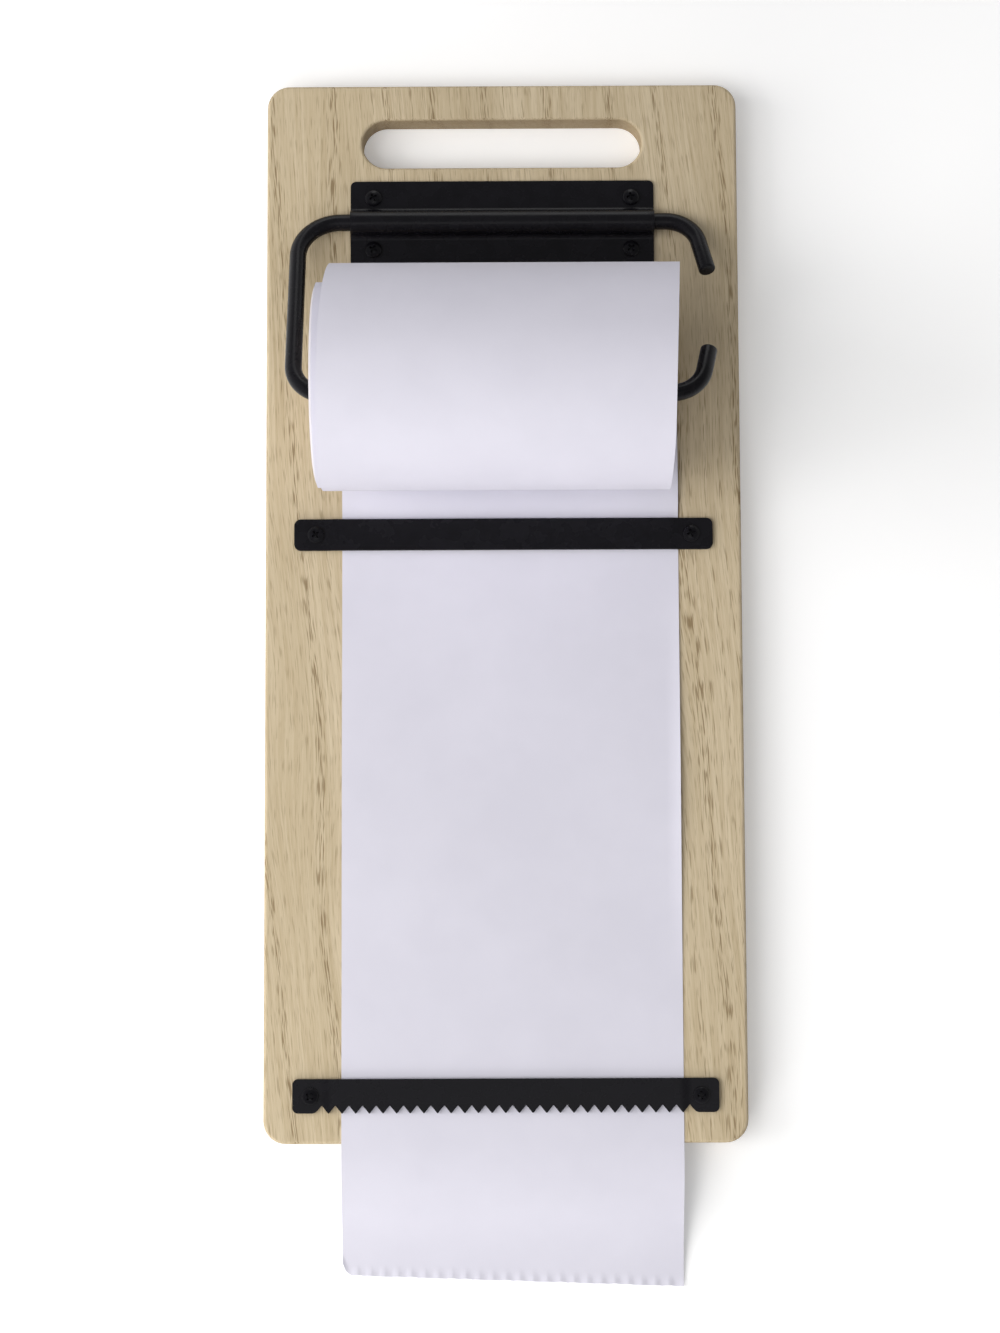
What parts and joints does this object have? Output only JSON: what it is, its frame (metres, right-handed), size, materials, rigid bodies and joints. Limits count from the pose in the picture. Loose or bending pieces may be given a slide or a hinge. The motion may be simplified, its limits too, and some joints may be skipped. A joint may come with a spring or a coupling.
{
  "type": "paper roll holder",
  "caption": "Wooden board with a handle slot that carries a paper roll on a swinging wire arm, with a guide bar and a toothed bar to tear the sheet on.",
  "frame": {"origin": "centre of the board's flat back face", "axes": "+X to the right seen from the front, +Y along the board towards the handle slot, +Z out of the front face, so the holder lies on its back"},
  "size_m": [0.17, 0.43, 0.0902],
  "materials": {
    "board_wood": "bare sanded pale wood",
    "black_coat": "black powder coat",
    "black_screw": "black",
    "paper": "uncoated white",
    "core_card": "brown card"
  },
  "bodies": {
    "board": {"board": "board_wood", "roll_bracket": "black_coat", "guide_bar": "black_coat", "tear_bar": "black_coat", "bracket_screw_upper_left": "black_screw", "bracket_screw_upper_right": "black_screw", "bracket_screw_lower_left": "black_screw", "bracket_screw_lower_right": "black_screw", "guide_bar_screw_left": "black_screw", "guide_bar_screw_right": "black_screw", "tear_bar_screw_left": "black_screw", "tear_bar_screw_right": "black_screw"},
    "arm": {"wire_arm": "black_coat", "loose_wrap": "paper"},
    "roll": {"roll_core": "core_card", "paper_roll": "paper"},
    "sheet": {"paper_sheet": "paper"}
  },
  "joints": [
    {"name": "arm_swing", "type": "hinge", "parent": "board", "child": "arm", "pos_m": [0, 0.1384, 0.0152], "axis": [-1, 0, 0], "range_deg": [0, 120]},
    {"name": "roll_spin", "type": "hinge", "parent": "arm", "child": "roll", "pos_m": [-0.005, 0.07216, 0.04805], "axis": [-1, 0, 0], "range_deg": [0, 58.1]},
    {"name": "paper_feed", "type": "slide", "parent": "board", "child": "sheet", "axis": [0, -1, 0], "range_m": [0, 0.036]}
  ],
  "couplings": [
    {"joint": "paper_feed", "follows": "roll_spin", "m_per_rad": 0.0355}
  ]
}
